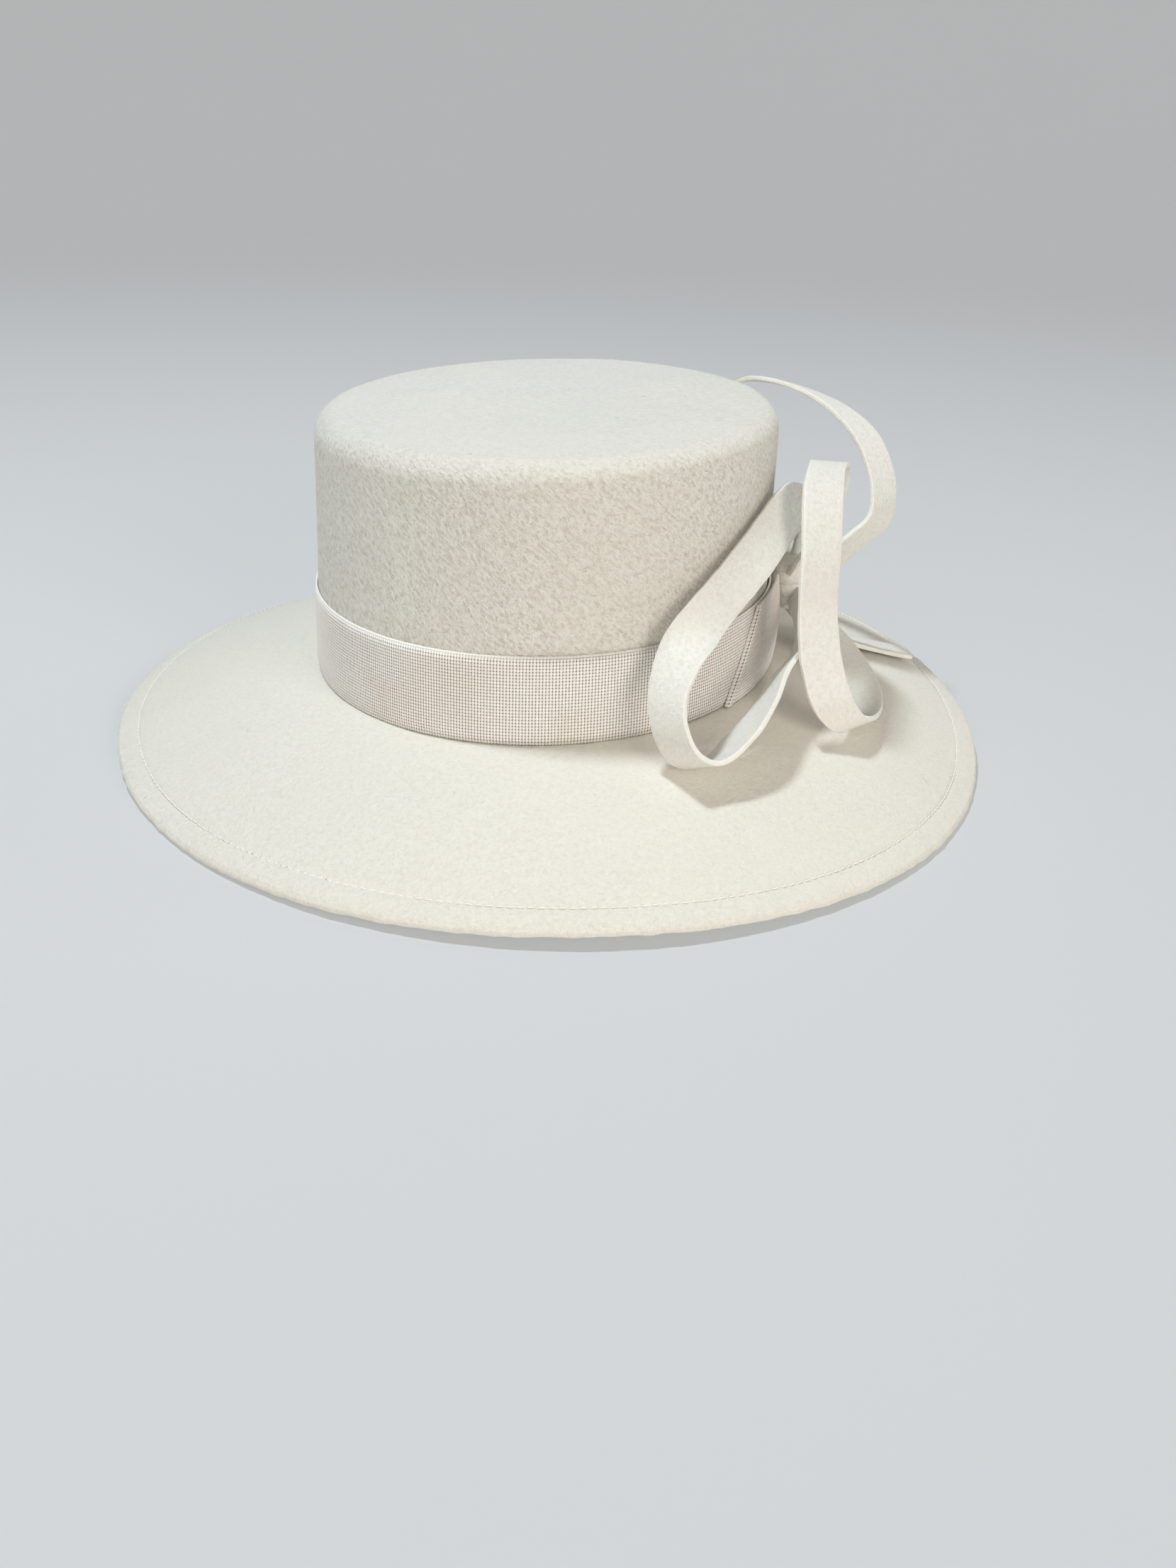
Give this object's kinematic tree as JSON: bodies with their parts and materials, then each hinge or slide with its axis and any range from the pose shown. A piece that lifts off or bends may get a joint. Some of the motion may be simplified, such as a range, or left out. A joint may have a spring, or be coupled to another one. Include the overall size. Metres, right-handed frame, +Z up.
{
  "type": "wide-brimmed felt hat",
  "caption": "Wide-brimmed ivory felt hat with a flat straight-sided crown, a ribbed ribbon band and a side trim of looped felt strips held by a small knot.",
  "frame": {"origin": "on the surface that the hat stands on, below the middle of the brim", "axes": "+Z up, +X towards the side with the trim, -Y towards the front of the hat"},
  "size_m": [0.3298, 0.3692, 0.1288],
  "materials": {
    "ivory_felt": "matt wool felt with a short nap",
    "ivory_ribbon": "ribbed grosgrain ribbon",
    "strip_felt": "matt wool felt with cut edges"
  },
  "bodies": {
    "root": {"crown": "ivory_felt", "brim": "ivory_felt", "band": "ivory_ribbon", "band_end": "ivory_ribbon", "knot": "strip_felt", "loop_front": "strip_felt", "loop_middle": "strip_felt", "loop_back": "strip_felt", "tail": "strip_felt"}
  },
  "joints": []
}
